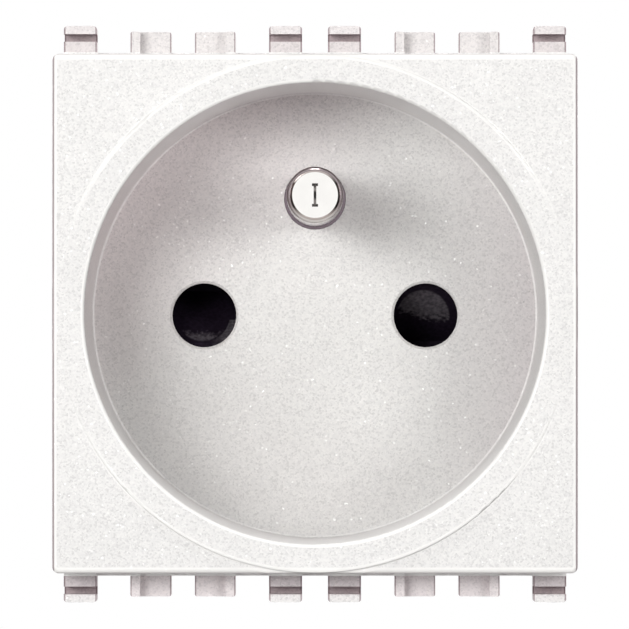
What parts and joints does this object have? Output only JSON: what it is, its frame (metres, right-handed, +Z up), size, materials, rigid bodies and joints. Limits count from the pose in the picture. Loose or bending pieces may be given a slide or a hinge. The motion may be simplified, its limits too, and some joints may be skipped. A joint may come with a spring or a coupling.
{
  "type": "socket outlet",
  "caption": "Square snap-in wall socket insert with a round plug recess, a standing earth pin, shuttered pin holes and clip teeth that hold it in a mounting frame.",
  "frame": {"origin": "on the plug axis, in the plane where the clip teeth seat on the mounting frame", "axes": "X to the right and Z up as seen from the front, Y into the wall"},
  "size_m": [0.0444, 0.0383, 0.0488],
  "materials": {
    "face_plastic": "satin white with fine metallic flake",
    "housing_plastic": "fine moulded grain",
    "shutter_plastic": "plain moulded",
    "nickel_plate": "bright nickel plate on brass",
    "brass_strip": "rolled strip",
    "brass_block": "machined",
    "spring_steel": "rolled",
    "zinc_steel": "bright zinc plate"
  },
  "bodies": {
    "insert": {"front_cover": "face_plastic", "rear_housing": "housing_plastic", "shutter_tray": "shutter_plastic", "earth_pin": "nickel_plate", "earth_strap": "brass_strip", "line_contact": "brass_strip", "neutral_contact": "brass_strip", "line_terminal": "brass_block", "neutral_terminal": "brass_block", "earth_terminal": "brass_block", "line_contact_clip": "spring_steel", "neutral_contact_clip": "spring_steel", "shutter_spring": "spring_steel", "line_clamp_plate": "zinc_steel", "neutral_clamp_plate": "zinc_steel", "earth_clamp_plate": "zinc_steel", "line_terminal_screw": "zinc_steel", "neutral_terminal_screw": "zinc_steel", "earth_terminal_screw": "zinc_steel", "case_screws": "zinc_steel"},
    "shutter": {"shutter": "shutter_plastic"}
  },
  "joints": [
    {"name": "shutter_turn", "type": "hinge", "parent": "insert", "child": "shutter", "pos_m": [0, 0.0113, 0], "axis": [0, -1, 0], "range_deg": [0, 38], "stiffness_Nm_per_rad": 0.01, "springref_deg": -17.19, "deforming": ["shutter_spring"]}
  ]
}
